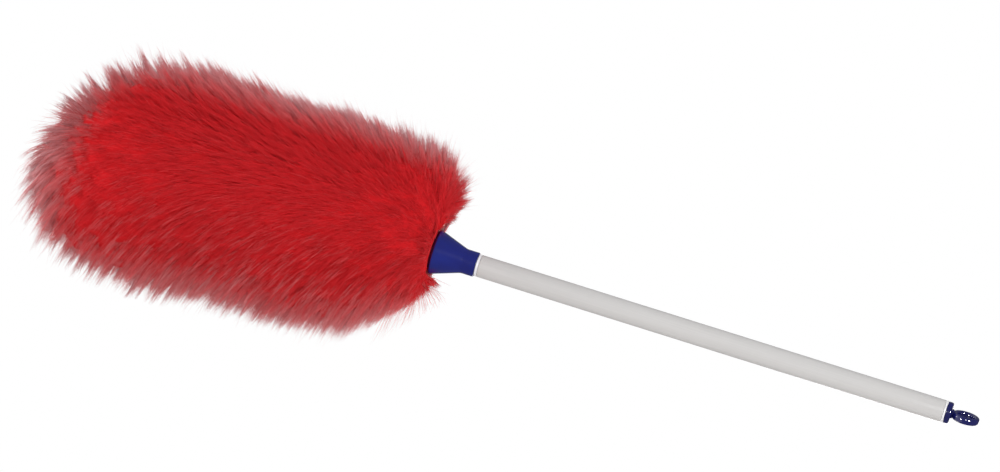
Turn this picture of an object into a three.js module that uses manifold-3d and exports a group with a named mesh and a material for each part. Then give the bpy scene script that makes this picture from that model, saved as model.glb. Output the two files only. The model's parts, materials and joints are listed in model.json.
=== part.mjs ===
// Telescopic lambswool duster hanging by its loop, head down. Millimetres, +Z up.
// The origin is the point of the loop's eye that bears on a hook; the handle's axis is Z.

import * as THREE from "three";
import { mergeVertices } from "three/addons/utils/BufferGeometryUtils.js";
import Module from "manifold-3d";

const wasm = await Module();
wasm.setup();

// ---------------------------------------------------------------- driving dimensions

const GAP = 0.3; // clearance between neighbouring pieces
const CLOSED_LENGTH = 889; // loop to wool tip, telescope closed (35 in)
const TRAVEL = 330; // how far the telescope pulls out (13 in)

// Hang loop: a round moulded eye on a swivel stem
const EYE_RADIUS = 7.8;
const LOOP_BAR = 4.2; // width of the bar round the eye
const LOOP_THICKNESS = 6;
const LOOP_YAW = THREE.MathUtils.degToRad(15); // how the eye is turned on its swivel at rest
const NECK_RADIUS = 4.5;
const NECK_HEIGHT = 1; // between the cap's face and the loop
const STEM_RADIUS = 2.8;
const STEM_GROOVE_RADIUS = 1.9;
const CLIP_THICKNESS = 1.0;
const CLIP_RADIUS = 4.6;

// Handle: outer tube with a flanged bush in each end
const HANDLE_LENGTH = 448; // end cap's face to cone collar
const TUBE_RADIUS = 10.2;
const TUBE_WALL = 1.5;
const CAP_RADIUS = 10.0;
const CAP_FLANGE = 4.9;
const CAP_SPIGOT = 20;
const CAP_WEB = 3; // web below the flange that the stem turns in
const REAR_FLANGE = 1.6;
const REAR_SPIGOT = 16;
const REAR_BORE = 7.2;
const MOUTH_FLANGE = 2.3;
const MOUTH_SPIGOT = 37.7;

// Inner tube and twist lock
const INNER_RADIUS = 7.1;
const INNER_WALL = 1.3;
const INNER_INSERT = 20; // length of inner tube inside the cone collar
const SLEEVE_LENGTH = 26;
const SLEEVE_SLOT = 1.6;
const STUD_BASE_RADIUS = 5.0;
const STUD_TOP_RADIUS = 3.8;
const PLUG_FLANGE = 2;
const PLUG_SPIGOT = 18;
const SCREW_RADIUS = 1.9;
const SCREW_LENGTH = 14;
const SCREW_HEAD_RADIUS = 3.8;
const SCREW_HEAD = 3;
const WASHER_RADIUS = 7.4;
const WASHER_THICKNESS = 1.2;

// Cone collar
const COLLAR_RADIUS = 11.3;
const COLLAR_LENGTH = 12;
const CONE_LENGTH = 27; // from the collar's neck to the widest circle of the mouth
const MOUTH_RADIUS = 20;
const LIP = 2.4; // the mouth's lip curls in by this radius
const CONE_WALL = 1.9;

// Head: wooden core, spirally wound sheepskin strip and its pile
const CORE_RADIUS = 5.5;
const CORE_IN_TUBE = 32; // length of core glued into the inner tube
const CORE_SETBACK = 22; // core's end behind the wool's tip
const HIDE_THICKNESS = 2;
const HIDE_WIDTH = 46;
const HIDE_PITCH = 48.5;
const HIDE_START = 30; // below the collar's upper end
const WIRE_RADIUS = 0.5;
const WIRE_TURNS = 3;
const TACK_HEAD_RADIUS = 2.6;
const TACK_HEAD = 0.8;
const TACK_RADIUS = 0.8;
const TACK_LENGTH = 6;
const TIP_CAP_LENGTH = 9;
const TIP_CAP_WALL = 1.4;

// Wool pile: a round body with a domed tip. Its base is drawn up on both sides of the cone,
// nearly flat on the -X side and sloping away on the +X side.
const PILE_RADIUS = 105;
const PILE_DEPTH_RATIO = 0.95; // front to back against side to side
const PILE_BASE_BESIDE = 23; // base's start below the collar's upper end, on the X sides
const PILE_BASE_FACING = 40; // the same, on the Y sides
const PILE_SWELL = 130; // the pile swells to its full radius over this length
const PILE_SWELL_FLAT = 0.18; // power of the swelling on the -X side
const PILE_SWELL_SLOPED = 0.5; // and on the +X side
const PILE_TIP_DOME = 95;
const PILE_TIP_SHIFT = 24; // the tip hangs this far towards +X
const PILE_BORE = 9.8;

// ---------------------------------------------------------------- heights along the handle

const loopRadius = EYE_RADIUS + LOOP_BAR;
const eyeCentre = -EYE_RADIUS;
const capTop = eyeCentre - loopRadius - NECK_HEIGHT;
const capFlangeBottom = capTop - CAP_FLANGE;
const webBottom = capFlangeBottom - CAP_WEB;
const rearTop = capFlangeBottom - GAP;
const rearFlangeBottom = rearTop - REAR_FLANGE;
const tubeTop = rearFlangeBottom - GAP;
const collarTop = capTop - HANDLE_LENGTH;
const mouthFlangeBottom = collarTop + GAP;
const mouthFlangeTop = mouthFlangeBottom + MOUTH_FLANGE;
const tubeBottom = mouthFlangeTop + GAP;
const mouthTop = mouthFlangeTop + MOUTH_SPIGOT;
const tubeBore = TUBE_RADIUS - TUBE_WALL;

const sleeveBottom = mouthTop + GAP + TRAVEL; // it meets the mouth bush at full travel
const sleeveTop = sleeveBottom + SLEEVE_LENGTH;
const sleeveRadius = tubeBore - GAP;
const plugFlangeTop = sleeveBottom - GAP;
const innerTop = plugFlangeTop - PLUG_FLANGE - GAP;
const innerBottom = collarTop - INNER_INSERT;
const innerBore = INNER_RADIUS - INNER_WALL;
const washerBottom = sleeveTop + GAP;
const screwHeadBottom = washerBottom + WASHER_THICKNESS + GAP;

const neckBottom = collarTop - COLLAR_LENGTH;
const mouthLevel = neckBottom - CONE_LENGTH;
const woolTip = loopRadius + eyeCentre - CLOSED_LENGTH;
const coreTop = innerBottom + CORE_IN_TUBE;
const coreBottom = woolTip + CORE_SETBACK;
const hideTop = collarTop - HIDE_START;
const hideInner = CORE_RADIUS + GAP;
const hideOuter = hideInner + HIDE_THICKNESS;
const tipCapTop = coreBottom + TIP_CAP_LENGTH - TIP_CAP_WALL - GAP;
const hideTurns = (hideTop - tipCapTop - GAP - HIDE_WIDTH) / HIDE_PITCH;

// ---------------------------------------------------------------- helpers

const TUBE_SEGMENTS = 40;
const SMALL_SEGMENTS = 24;

// A closed profile of [radius, height] corners turned round Z.
function turned(corners, segments = TUBE_SEGMENTS) {
  const points = corners.map(([radius, height]) => new THREE.Vector2(radius, height));
  if (THREE.ShapeUtils.area(points) < 0) points.reverse();
  points.push(points[0].clone());
  return new THREE.LatheGeometry(points, segments).rotateX(Math.PI / 2);
}

// A solid skinned over rings of equal point count, with a flat fan at each end.
function lofted(rings) {
  const count = rings[0].length;
  const positions = rings.flat().flatMap((point) => point.toArray());
  const triangles = [];
  for (let row = 0; row < rings.length - 1; row += 1) {
    for (let i = 0; i < count; i += 1) {
      const a = row * count + i;
      const b = row * count + ((i + 1) % count);
      triangles.push(a, b, b + count, a, b + count, a + count);
    }
  }
  const last = (rings.length - 1) * count;
  for (let i = 1; i < count - 1; i += 1) {
    triangles.push(0, i + 1, i);
    triangles.push(last, last + i, last + i + 1);
  }
  const geometry = new THREE.BufferGeometry();
  geometry.setAttribute("position", new THREE.Float32BufferAttribute(positions, 3));
  geometry.setIndex(triangles);
  return geometry;
}

function toSolid(geometry) {
  const bare = geometry.clone();
  bare.deleteAttribute("normal");
  bare.deleteAttribute("uv");
  const merged = mergeVertices(bare, 1e-4);
  const vertProperties = new Float32Array(merged.attributes.position.array);
  const triVerts = new Uint32Array(merged.index.array);
  return new wasm.Manifold(new wasm.Mesh({ numProp: 3, vertProperties, triVerts }));
}

function toGeometry(solid) {
  const { vertProperties, triVerts } = solid.getMesh();
  const geometry = new THREE.BufferGeometry();
  geometry.setAttribute("position", new THREE.Float32BufferAttribute(vertProperties, 3));
  geometry.setIndex(new THREE.Uint32BufferAttribute(triVerts, 1));
  return geometry;
}

function joined(...geometries) {
  const solids = geometries.map(toSolid);
  return toGeometry(solids.reduce((sum, solid) => sum.add(solid)));
}

function cut(geometry, ...tools) {
  const left = tools.reduce((rest, tool) => rest.subtract(toSolid(tool)), toSolid(geometry));
  return toGeometry(left);
}

// ---------------------------------------------------------------- materials

function material(color, roughness, metalness = 0) {
  return new THREE.MeshStandardMaterial({ color, roughness, metalness });
}

const materials = {
  bluePlastic: material(0x1f2c84, 0.3),
  whitePlastic: material(0xf4f4f6, 0.35),
  tubePlastic: material(0xd4d2d2, 0.4),
  innerPlastic: material(0xe2e2e0, 0.4),
  lockPlastic: material(0x2b2d33, 0.5),
  steel: material(0xb4b8bd, 0.3, 1),
  wood: material(0xc9a36f, 0.7),
  hide: material(0xa88a6a, 0.8),
  wool: material(0xb01c22, 0.95),
};

const duster = new THREE.Group();

function addPiece(name, geometry, finish) {
  const mesh = new THREE.Mesh(geometry, materials[finish]);
  mesh.name = name;
  duster.add(mesh);
  return mesh;
}

// ---------------------------------------------------------------- hanger

function hangLoop() {
  const halfBar = LOOP_BAR / 2;
  const halfThickness = LOOP_THICKNESS / 2;
  const soft = 1.1; // corner rounding of the bar
  const middle = EYE_RADIUS + halfBar;
  const bar = [
    [halfBar, -halfThickness + soft],
    [halfBar, halfThickness - soft],
    [halfBar - soft * 0.3, halfThickness - soft * 0.3],
    [halfBar - soft, halfThickness],
    [-halfBar + soft, halfThickness],
    [-halfBar + soft * 0.3, halfThickness - soft * 0.3],
    [-halfBar, halfThickness - soft],
    [-halfBar, -halfThickness + soft],
    [-halfBar + soft * 0.3, -halfThickness + soft * 0.3],
    [-halfBar + soft, -halfThickness],
    [halfBar - soft, -halfThickness],
    [halfBar - soft * 0.3, -halfThickness + soft * 0.3],
  ].map(([across, along]) => [middle + across, along]);
  const ring = turned(bar)
    .rotateY(Math.PI / 2)
    .rotateZ(LOOP_YAW)
    .translate(0, 0, eyeCentre);

  const loopBottom = eyeCentre - loopRadius;
  const grooveTop = webBottom;
  const grooveBottom = webBottom - CLIP_THICKNESS - 2 * GAP;
  const stemEnd = grooveBottom - 3;
  const stem = turned([
    [0, loopBottom + halfBar],
    [2.4, loopBottom + halfBar],
    [3.4, loopBottom + 0.8],
    [NECK_RADIUS, loopBottom - 0.2],
    [NECK_RADIUS, capTop + GAP],
    [STEM_RADIUS, capTop + GAP],
    [STEM_RADIUS, grooveTop],
    [STEM_GROOVE_RADIUS, grooveTop],
    [STEM_GROOVE_RADIUS, grooveBottom],
    [STEM_RADIUS, grooveBottom],
    [STEM_RADIUS - 0.6, stemEnd],
    [0, stemEnd],
  ], SMALL_SEGMENTS);
  return joined(ring, stem);
}

// A C-shaped snap clip in the stem's groove, which keeps the loop in the end cap.
function loopClip() {
  const inner = STEM_GROOVE_RADIUS + GAP;
  const mouth = THREE.MathUtils.degToRad(35); // half of the clip's opening
  const outline = new THREE.Shape();
  outline.absarc(0, 0, CLIP_RADIUS, mouth, 2 * Math.PI - mouth, false);
  outline.absarc(0, 0, inner, 2 * Math.PI - mouth, mouth, true);
  const options = { depth: CLIP_THICKNESS, bevelEnabled: false, curveSegments: SMALL_SEGMENTS };
  return new THREE.ExtrudeGeometry(outline, options).translate(0, 0, webBottom - GAP - CLIP_THICKNESS);
}

addPiece("hang_loop", hangLoop(), "bluePlastic");
addPiece("loop_clip", loopClip(), "steel");

// ---------------------------------------------------------------- handle

function endCap() {
  const spigot = REAR_BORE - GAP;
  const spigotEnd = capFlangeBottom - CAP_SPIGOT;
  const stemHole = STEM_RADIUS + GAP;
  const clipPocket = CLIP_RADIUS + GAP;
  return turned([
    [stemHole, capTop],
    [CAP_RADIUS - 0.9, capTop],
    [CAP_RADIUS - 0.25, capTop - 0.3],
    [CAP_RADIUS, capTop - 0.9],
    [CAP_RADIUS, capFlangeBottom],
    [spigot, capFlangeBottom],
    [spigot, spigotEnd + 1],
    [spigot - 0.6, spigotEnd],
    [clipPocket, spigotEnd],
    [clipPocket, webBottom],
    [stemHole, webBottom],
  ]);
}

function rearRing() {
  const spigot = tubeBore - GAP;
  const end = rearFlangeBottom - REAR_SPIGOT;
  return turned([
    [REAR_BORE, rearTop],
    [TUBE_RADIUS, rearTop],
    [TUBE_RADIUS, rearFlangeBottom],
    [spigot, rearFlangeBottom],
    [spigot, end],
    [REAR_BORE, end],
  ]);
}

function outerTube() {
  return turned([
    [tubeBore, tubeBottom],
    [TUBE_RADIUS, tubeBottom],
    [TUBE_RADIUS, tubeTop],
    [tubeBore, tubeTop],
  ]);
}

// The flanged bush that guides the inner tube and stops the lock at full travel.
function mouthBush() {
  const spigot = tubeBore - GAP;
  const bore = INNER_RADIUS + GAP;
  return turned([
    [bore, mouthFlangeBottom],
    [TUBE_RADIUS, mouthFlangeBottom],
    [TUBE_RADIUS, mouthFlangeTop],
    [spigot, mouthFlangeTop],
    [spigot, mouthTop],
    [bore, mouthTop],
  ]);
}

addPiece("end_cap", endCap(), "bluePlastic");
addPiece("rear_ring", rearRing(), "whitePlastic");
addPiece("outer_tube", outerTube(), "tubePlastic");
addPiece("mouth_bush", mouthBush(), "whitePlastic");

// ---------------------------------------------------------------- twist lock

// The split sleeve that the tapered stud spreads against the outer tube's bore.
function lockSleeve() {
  const sleeve = turned([
    [STUD_BASE_RADIUS + GAP, sleeveBottom],
    [sleeveRadius, sleeveBottom],
    [sleeveRadius, sleeveTop],
    [STUD_TOP_RADIUS + GAP, sleeveTop],
  ]);
  const slot = new THREE.BoxGeometry(2 * sleeveRadius, SLEEVE_SLOT, SLEEVE_LENGTH + 2)
    .translate(sleeveRadius, 0, (sleeveBottom + sleeveTop) / 2);
  return cut(sleeve, slot);
}

// The plug in the inner tube's end, with the tapered stud that the sleeve sits on.
function lockPlug() {
  const spigot = innerBore - GAP;
  const spigotEnd = plugFlangeTop - PLUG_FLANGE - PLUG_SPIGOT;
  const screwHole = SCREW_RADIUS + GAP;
  const holeEnd = sleeveTop - SCREW_LENGTH - 1;
  return turned([
    [0, spigotEnd],
    [spigot, spigotEnd],
    [spigot, plugFlangeTop - PLUG_FLANGE],
    [INNER_RADIUS, plugFlangeTop - PLUG_FLANGE],
    [INNER_RADIUS, plugFlangeTop],
    [STUD_BASE_RADIUS, plugFlangeTop],
    [STUD_TOP_RADIUS, sleeveTop],
    [screwHole, sleeveTop],
    [screwHole, holeEnd],
    [0, holeEnd],
  ]);
}

function lockWasher() {
  const hole = SCREW_RADIUS + GAP;
  return turned([
    [hole, washerBottom],
    [WASHER_RADIUS, washerBottom],
    [WASHER_RADIUS, washerBottom + WASHER_THICKNESS],
    [hole, washerBottom + WASHER_THICKNESS],
  ]);
}

function lockScrew() {
  const tip = sleeveTop - SCREW_LENGTH;
  const crown = screwHeadBottom + SCREW_HEAD;
  const head = turned([
    [0, tip],
    [SCREW_RADIUS - 1, tip],
    [SCREW_RADIUS, tip + 1.5],
    [SCREW_RADIUS, screwHeadBottom],
    [SCREW_HEAD_RADIUS, screwHeadBottom],
    [SCREW_HEAD_RADIUS, crown - 1],
    [SCREW_HEAD_RADIUS - 1, crown],
    [0, crown],
  ], SMALL_SEGMENTS);
  const arm = 5;
  const slotWidth = 1.1;
  const crossArms = [[arm, slotWidth], [slotWidth, arm]].map(([x, y]) =>
    new THREE.BoxGeometry(x, y, 3).translate(0, 0, crown));
  return cut(head, ...crossArms);
}

function innerTube() {
  return turned([
    [innerBore, innerBottom],
    [INNER_RADIUS, innerBottom],
    [INNER_RADIUS, innerTop],
    [innerBore, innerTop],
  ]);
}

addPiece("lock_sleeve", lockSleeve(), "lockPlastic");
addPiece("lock_plug", lockPlug(), "lockPlastic");
addPiece("lock_washer", lockWasher(), "steel");
addPiece("lock_screw", lockScrew(), "steel");
addPiece("inner_tube", innerTube(), "innerPlastic");

// ---------------------------------------------------------------- cone collar

// The cone's outside from the collar's end to the curled lip; grow swells it evenly.
function coneOutside(grow) {
  const neckStep = 3; // the fillet between collar and cone
  const slope = (MOUTH_RADIUS - COLLAR_RADIUS) / CONE_LENGTH;
  const corners = [
    [COLLAR_RADIUS + grow, collarTop + grow],
    [COLLAR_RADIUS + grow, neckBottom + neckStep / 2],
    [COLLAR_RADIUS + 0.3 * slope * neckStep + grow, neckBottom - neckStep / 2],
    [MOUTH_RADIUS - 0.6 + grow, mouthLevel + 2.2],
  ];
  const steps = 5;
  for (let i = 0; i <= steps; i += 1) {
    const angle = (i / steps) * (Math.PI / 2);
    const radius = MOUTH_RADIUS - LIP + (LIP + grow) * Math.cos(angle);
    corners.push([radius, mouthLevel - (LIP + grow) * Math.sin(angle)]);
  }
  return corners;
}

function coneCollar() {
  const socket = INNER_RADIUS + GAP;
  const socketEnd = innerBottom - GAP;
  const lipInside = MOUTH_RADIUS - LIP;
  return turned([
    ...coneOutside(0),
    [lipInside, mouthLevel - LIP + CONE_WALL],
    [MOUTH_RADIUS - CONE_WALL, mouthLevel + 1],
    [hideOuter + 2, socketEnd - 2],
    [CORE_RADIUS + GAP, socketEnd],
    [socket, socketEnd + GAP],
    [socket, collarTop],
  ]);
}

addPiece("cone_collar", coneCollar(), "bluePlastic");

// ---------------------------------------------------------------- head

class Helix extends THREE.Curve {
  constructor(radius, top, pitch, turns) {
    super();
    Object.assign(this, { radius, top, pitch, turns });
  }

  getPoint(t) {
    const angle = t * this.turns * 2 * Math.PI;
    const height = this.top - t * this.turns * this.pitch;
    return new THREE.Vector3(this.radius * Math.cos(angle), this.radius * Math.sin(angle), height);
  }
}

// A tack driven towards the axis from the side that faces angle, its head just clear of the hide.
function tack(angle, height, grow = 0) {
  const seat = hideOuter + GAP;
  const corners = [
    [0, seat - TACK_LENGTH - grow],
    [TACK_RADIUS + grow, seat - TACK_LENGTH + 1],
    [TACK_RADIUS + grow, seat - grow],
    [TACK_HEAD_RADIUS + grow, seat - grow],
    [TACK_HEAD_RADIUS + grow, seat + TACK_HEAD + grow],
    [0, seat + TACK_HEAD + grow],
  ];
  return turned(corners, SMALL_SEGMENTS).rotateY(Math.PI / 2).rotateZ(angle).translate(0, 0, height);
}

const neckTack = { angle: 0.6, height: hideTop - 14 };
const tipTack = { angle: 2.4, height: tipCapTop + 26 };

function tackHoles() {
  return [neckTack, tipTack].map(({ angle, height }) => tack(angle, height, GAP));
}

function coreRod() {
  const chamfer = 1;
  const rod = turned([
    [0, coreBottom],
    [CORE_RADIUS - chamfer, coreBottom],
    [CORE_RADIUS, coreBottom + chamfer],
    [CORE_RADIUS, coreTop - chamfer],
    [CORE_RADIUS - chamfer, coreTop],
    [0, coreTop],
  ]);
  return cut(rod, ...tackHoles());
}

// The sheepskin backing: a flat strip wound down the core in an open spiral.
function hideStrip() {
  const stepsPerTurn = 20;
  const steps = Math.ceil(hideTurns * stepsPerTurn);
  const rings = [];
  for (let i = 0; i <= steps; i += 1) {
    const angle = (i / steps) * hideTurns * 2 * Math.PI;
    const upper = hideTop - (i / steps) * hideTurns * HIDE_PITCH;
    const lower = upper - HIDE_WIDTH;
    const corner = (radius, height) =>
      new THREE.Vector3(radius * Math.cos(angle), radius * Math.sin(angle), height);
    rings.push([
      corner(hideInner, lower),
      corner(hideInner, upper),
      corner(hideOuter, upper),
      corner(hideOuter, lower),
    ]);
  }
  return cut(lofted(rings), ...tackHoles());
}

// Binding wire round the first turn of hide, inside the cone's mouth.
function neckWire() {
  const radius = hideOuter + GAP + WIRE_RADIUS;
  const path = new Helix(radius, hideTop - 3, 2 * WIRE_RADIUS + GAP, WIRE_TURNS);
  const section = new THREE.Shape().absarc(0, 0, WIRE_RADIUS, 0, 2 * Math.PI, false);
  const stepsPerTurn = 18;
  const options = { steps: WIRE_TURNS * stepsPerTurn, extrudePath: path, curveSegments: 3 };
  return new THREE.ExtrudeGeometry(section, options);
}

// The cap that covers the core's end, so that wood never knocks on furniture.
function tipCap() {
  const inner = CORE_RADIUS + GAP;
  const outer = inner + TIP_CAP_WALL;
  const floor = coreBottom - GAP;
  return turned([
    [0, floor - TIP_CAP_WALL],
    [outer - 1, floor - TIP_CAP_WALL],
    [outer, floor - TIP_CAP_WALL + 1],
    [outer, tipCapTop],
    [inner, tipCapTop],
    [inner, floor],
    [0, floor],
  ]);
}

// The pile's surface at an angle round the handle, even running from 0 at the base to 1 at the tip.
function pilePoint(angle, even) {
  const beside = Math.cos(angle) ** 2;
  const start = PILE_BASE_BESIDE * beside + PILE_BASE_FACING * (1 - beside);
  const sloped = (1 + Math.cos(angle)) / 2;
  const power = PILE_SWELL_SLOPED * sloped + PILE_SWELL_FLAT * (1 - sloped);
  const top = collarTop - start;
  const length = top - woolTip;
  const depth = even * length;
  const swell = 1 - Math.max(0, 1 - depth / PILE_SWELL) ** 1.5;
  const intoTip = Math.max(0, 1 - (length - depth) / PILE_TIP_DOME);
  const radius = PILE_RADIUS * swell ** power * Math.sqrt(1 - intoTip ** 2);
  const across = PILE_TIP_SHIFT * even ** 4 + radius * Math.cos(angle);
  return new THREE.Vector3(across, radius * PILE_DEPTH_RATIO * Math.sin(angle), top - depth);
}

function woolPile() {
  const stations = 30;
  const around = 40;
  const rings = [];
  for (let i = stations - 1; i > 0; i -= 1) {
    const even = (1 - Math.cos((i / stations) * Math.PI)) / 2; // stations crowd at the two ends
    const ring = [];
    for (let j = 0; j < around; j += 1) ring.push(pilePoint((j / around) * 2 * Math.PI, even));
    rings.push(ring);
  }
  const roomForCone = turned([[0, collarTop + GAP], ...coneOutside(GAP), [0, mouthLevel - LIP - GAP]]);
  const boreEnd = coreBottom - 2 * GAP - TIP_CAP_WALL;
  const bore = new THREE.CylinderGeometry(PILE_BORE, PILE_BORE, mouthLevel - boreEnd, TUBE_SEGMENTS)
    .rotateX(Math.PI / 2)
    .translate(0, 0, (mouthLevel + boreEnd) / 2);
  return cut(lofted(rings), roomForCone, bore);
}

addPiece("core_rod", coreRod(), "wood");
addPiece("hide_strip", hideStrip(), "hide");
addPiece("neck_wire", neckWire(), "steel");
addPiece("neck_tack", tack(neckTack.angle, neckTack.height), "steel");
addPiece("tip_tack", tack(tipTack.angle, tipTack.height), "steel");
addPiece("tip_cap", tipCap(), "whitePlastic");
addPiece("wool_pile", woolPile(), "wool");

export default duster;
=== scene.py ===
import json
import math

import bmesh
import bpy
import numpy as np
from mathutils import Matrix, Vector, kdtree


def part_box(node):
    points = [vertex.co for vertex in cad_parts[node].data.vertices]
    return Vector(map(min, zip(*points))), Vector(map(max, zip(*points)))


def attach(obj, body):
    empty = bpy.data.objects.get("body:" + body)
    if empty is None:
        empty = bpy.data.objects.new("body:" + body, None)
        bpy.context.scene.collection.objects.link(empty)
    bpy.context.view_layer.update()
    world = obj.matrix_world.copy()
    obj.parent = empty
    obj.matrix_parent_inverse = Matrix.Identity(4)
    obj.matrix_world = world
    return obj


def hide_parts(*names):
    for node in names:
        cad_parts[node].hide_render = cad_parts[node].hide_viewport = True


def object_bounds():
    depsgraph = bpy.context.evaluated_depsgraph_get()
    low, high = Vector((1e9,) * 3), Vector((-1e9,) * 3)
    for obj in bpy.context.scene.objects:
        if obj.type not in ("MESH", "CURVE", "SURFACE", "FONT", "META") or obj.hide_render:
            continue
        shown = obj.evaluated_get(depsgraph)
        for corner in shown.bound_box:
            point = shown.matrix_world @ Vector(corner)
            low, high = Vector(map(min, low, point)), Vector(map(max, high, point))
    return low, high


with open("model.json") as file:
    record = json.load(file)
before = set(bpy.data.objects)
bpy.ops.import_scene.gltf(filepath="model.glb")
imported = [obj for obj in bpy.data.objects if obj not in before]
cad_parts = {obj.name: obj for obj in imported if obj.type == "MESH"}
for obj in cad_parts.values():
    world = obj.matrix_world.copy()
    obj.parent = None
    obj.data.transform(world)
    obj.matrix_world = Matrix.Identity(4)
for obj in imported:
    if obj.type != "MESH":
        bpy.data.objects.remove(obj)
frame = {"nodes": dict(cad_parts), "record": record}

# A telescopic lambswool duster, hanging by its loop. Metres, +Z up, the handle's axis is Z.

CAD_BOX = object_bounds()
MM = 0.001
SEED = 11
random = np.random.default_rng(SEED)

# ---------------------------------------------------------------- places and sizes

cap_low, cap_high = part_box("end_cap")
rear_low, rear_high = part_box("rear_ring")
tube_low, tube_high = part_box("outer_tube")
bush_low, bush_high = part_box("mouth_bush")
inner_low, inner_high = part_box("inner_tube")
cone_low, cone_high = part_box("cone_collar")
hide_low, hide_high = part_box("hide_strip")
pile_low, pile_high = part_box("wool_pile")
loop_low, loop_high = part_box("hang_loop")

GAP = 0.3 * MM
TUBE_WALL = 1.5 * MM
INNER_WALL = 1.3 * MM
tube_radius = tube_high.x
tube_bore = tube_radius - TUBE_WALL
inner_radius = inner_high.x

EYE_RADIUS = 7.8 * MM
LOOP_THICKNESS = 6.6 * MM
LOOP_YAW = math.radians(15)
NECK_RADIUS = 4.5 * MM
STEM_RADIUS = 2.8 * MM
STEM_GROOVE_RADIUS = 1.9 * MM
CLIP_THICKNESS = 1 * MM
CLIP_RADIUS = 4.6 * MM
CAP_FLANGE = 4.9 * MM
CAP_WEB = 3 * MM
loop_bar = loop_high.z

REAR_BORE = 7.2 * MM
REAR_FLANGE = 1.6 * MM
MOUTH_FLANGE = 2.3 * MM

COLLAR_RADIUS = 11.3 * MM
COLLAR_LENGTH = 12 * MM
LIP = 2.4 * MM
CONE_WALL = 1.9 * MM
CORE_RADIUS = 5.5 * MM
collar_top = cone_high.z
mouth_radius = cone_high.x
mouth_level = cone_low.z + LIP

# The wool's outer surface, as the CAD's pile has it
PILE_DEPTH_RATIO = 0.95
PILE_BASE_BESIDE = 23 * MM
PILE_BASE_FACING = 40 * MM
PILE_SWELL = 130 * MM
PILE_SWELL_FLAT = 0.18
PILE_SWELL_SLOPED = 0.5
PILE_TIP_DOME = 95 * MM
PILE_TIP_SHIFT = 24 * MM
PILE_BORE = 9.8 * MM
pile_radius = pile_high.y / PILE_DEPTH_RATIO
wool_tip = pile_low.z
FACED_FLATTER = 0.6  # the tips' unevenness is this much less on the Y sides
WOOL_PROUD = 10 * MM  # fibres that stand further past the pile's box are drawn in

# How pale the tips are painted, from 0 to 1, and where, as shares of the pile's length: painted sheen on
# the sides turned away from ±Y, painted light through the thin tips at the tip end
SIDE_SHEEN_PALING = 0.88
COMBED_SHEEN_LOSS = 0.28
SIDE_SHEEN_TURN = 0.66  # the painted sheen sides end where the squared Y part of the surface's normal is this
TIP_LIGHT_START = 0.82
BASE_SHEEN_SHARE = 0.1
BASE_SHEEN_START = 0.02
BASE_SHEEN_LENGTH = 0.1

# The wool's highest level beside the cone, in millimetres above the collar's upper end: on the
# combed side, the pressed side and the two facing sides, and how it climbs outwards from the lip
COMBED_LEVEL = -33.5
COMBED_CLIMB = 9.5
COMBED_REACH = 8.6
PRESSED_LEVEL = -33
PRESSED_CLIMB = 8
PRESSED_REACH = 28
FACING_LEVEL = -42.3
FACING_SLOPE = 0.1
SLANT_LEVEL = -24  # the combed side's base slants down from this level, beyond SLANT_START
SLANT_START = 32
NO_LIMIT = 60
FREE_RADII = 2.4  # mouth radii out, from which the limit is lifted
FREE_BLEND = 0.6
CEILING_SLACK = 1.5 * MM
CONE_CLEARANCE = 0.6 * MM

# The undercoat lies below the tips, and dips round the core under the cone
UNDERCOAT_SUNK_FACING = 15 * MM
UNDERCOAT_SUNK_BESIDE = 9 * MM
UNDERCOAT_TIP_SHORT = 20 * MM
UNDERCOAT_BOTTOM = 24 * MM
UNDERCOAT_DIP = 12 * MM
UNDERCOAT_DIP_RADIUS = 25 * MM
LUMP_HEIGHT = 1.2 * MM

# Locks of fibres, gathered in tufts
LOCKS = 17500
FIBRES_EACH = 7
TUFTS = 2600
FIBRES_IN_PIECE = 12300
TUFT_UNEVENNESS = 3 * MM
LOCK_UNEVENNESS = 1.2 * MM
LOCK_SHOWN = 44 * MM  # the outer length of a lock that is modelled, and more on the combed side
LOCK_SHOWN_COMBED = 16 * MM
FIBRE_SHORT = 13 * MM  # the most that a fibre may end short of its lock
ROOT_SPREAD = 2.6 * MM
TIP_SPREAD = 0.85 * MM
LOOSE_SHARE = 0.07
LOOSE_SPREAD = 4
FIBRE_WAVE = 0.35 * MM
FIBRE_WIDTH = np.array((1, 0.95, 0.5)) * MM  # at the rings, from root to tip
STREAKED_SHARE = 0.22  # locks whose tips are painted paler among the others on the combed side: painted highlight streaks
STREAK_HIGHLIGHT_PALING = 0.34

# Where the fibres come from, and how they bend
DROOP = np.array((0.956, 0, 0.293))  # the way the head's own weight pulls the fibres in use
ROOT_RADIUS = 8 * MM
BESIDE_ROOT_SHIFT = 16 * MM  # roots beside the cone's mouth are moved out and down by these
BESIDE_ROOT_DROP = 15 * MM
NEAR_BASE = 0.12
CURVE_LEAD = 0.36

# Single hairs
STRAYS = 4500
BASE_HAIRS = 130
STRAY_REACH = 3.2 * MM
STRAY_MOST = 7 * MM
STRAY_SHOWN = 50 * MM
STRAY_BEND = 3.5 * MM
STRAY_WIDTH = np.array((0.3, 0.28, 0.22)) * MM
BASE_HAIR_OVER = 20 * MM

# A fibre's mesh: a few three-sided rings and a point
SIDES = 3
RINGS = 3
POINTS = SIDES * RINGS + 1
FIBRE_SECTION = ((1, -0.3), (0, 0.75), (-1, -0.3))  # each side's place across and above the line


# ---------------------------------------------------------------- camera

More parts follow.
